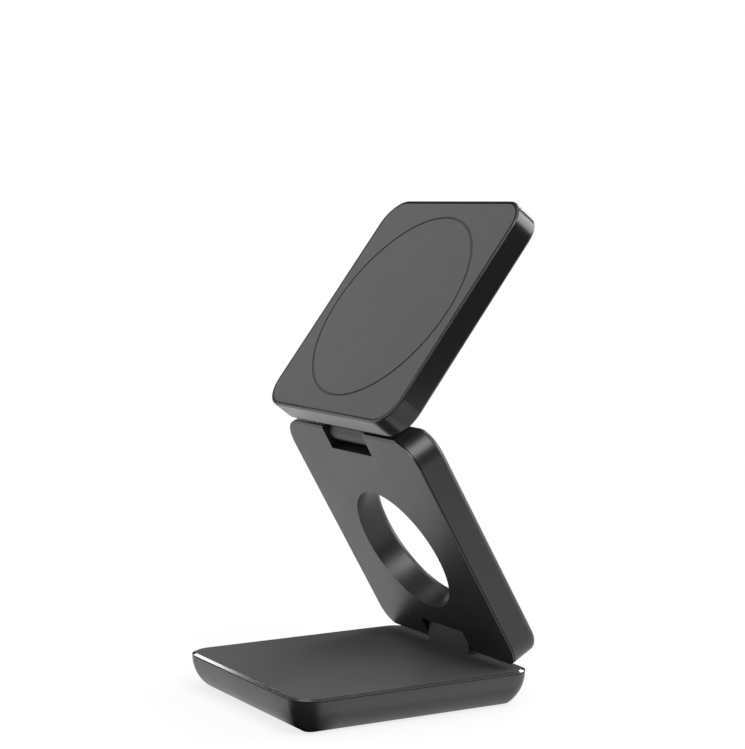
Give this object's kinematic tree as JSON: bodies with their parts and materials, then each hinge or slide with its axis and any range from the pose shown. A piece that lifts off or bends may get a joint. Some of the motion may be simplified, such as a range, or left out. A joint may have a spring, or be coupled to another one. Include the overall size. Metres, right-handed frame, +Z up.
{
  "type": "three in one wireless charger",
  "caption": "Folding wireless charger stand: a flat base tray, a hinged arm with a round window and a hinged magnetic phone panel with a watch puck behind.",
  "frame": {"origin": "middle of the base's foot pad, on the surface that the charger stands on", "axes": "+Z up, +Y to the rear edge where the arm is hinged, +X to the user's right"},
  "size_m": [0.062, 0.0659, 0.121],
  "materials": {
    "moulded_shell": "fine satin moulded texture",
    "moulded_plate": "fine matte moulded texture",
    "soft_face": "smooth soft-touch silicone",
    "gloss_cap": "polished",
    "foot_rubber": "matte",
    "hinge_cast": "black anodised satin",
    "steel": "plain bright steel",
    "bronze": "sintered",
    "copper": "enamelled copper wire",
    "ferrite": "matte sheet",
    "magnet": "nickel plated",
    "circuit_board": "solder mask",
    "flex_film": "polyimide film",
    "socket_insert": "moulded"
  },
  "bodies": {
    "base": {"base_tray": "moulded_shell", "base_lid": "moulded_plate", "foot_pad": "foot_rubber", "base_screws": "steel", "counterweight": "steel", "usb_c_socket": "steel", "usb_c_tongue": "socket_insert", "main_board": "circuit_board", "earbud_coil": "copper", "earbud_ferrite": "ferrite", "base_hinge_knuckle": "hinge_cast"},
    "arm": {"arm_rear_shell": "moulded_shell", "arm_front_plate": "moulded_plate", "arm_flex_cable": "flex_film", "base_hinge_pin": "steel", "base_hinge_bushes": "bronze", "base_hinge_washers": "steel", "panel_hinge_pin": "steel", "panel_hinge_bushes": "bronze", "panel_hinge_washers": "steel"},
    "panel": {"panel_shell": "moulded_shell", "panel_face": "soft_face", "panel_hinge_knuckle": "hinge_cast", "magnet_ring": "magnet", "phone_coil": "copper", "phone_ferrite": "ferrite", "panel_board": "circuit_board", "watch_puck_housing": "moulded_shell", "watch_puck_cap": "gloss_cap", "watch_coil": "copper", "watch_magnet": "magnet", "puck_screws": "steel"}
  },
  "joints": [
    {"name": "base_hinge", "type": "hinge", "parent": "base", "child": "arm", "pos_m": [0, 0.0298, 0.0138], "axis": [1, 0, 0], "range_deg": [-29.5, 60.5]},
    {"name": "panel_hinge", "type": "hinge", "parent": "arm", "child": "panel", "pos_m": [0, 0.0008, 0.06506], "axis": [1, 0, 0], "range_deg": [-113.2, 11.8]}
  ]
}
